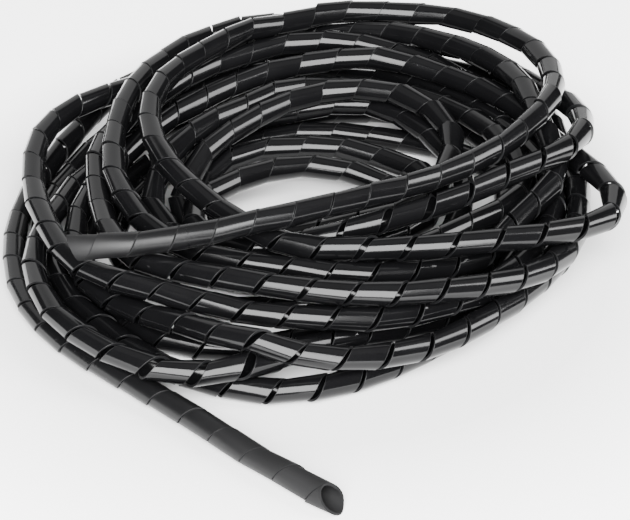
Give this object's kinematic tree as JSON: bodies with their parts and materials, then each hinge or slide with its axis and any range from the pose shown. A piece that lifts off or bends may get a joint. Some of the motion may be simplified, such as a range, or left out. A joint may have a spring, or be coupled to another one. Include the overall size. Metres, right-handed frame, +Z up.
{
  "type": "spiral cable wrap",
  "caption": "Loose coil of black spiral cable wrap, a slit flexible plastic tube that winds round cables to bundle them, its ends free.",
  "frame": {"origin": "middle of the coil's outline on the floor it lies on", "axes": "+Z up from the floor, +Y towards the back of the coil, away from the free end that lies in front"},
  "size_m": [0.3139, 0.3987, 0.0555],
  "materials": {
    "black_plastic": "semi-gloss moulded polyethylene"
  },
  "bodies": {
    "root": {"spiral_wrap": "black_plastic"}
  },
  "joints": []
}
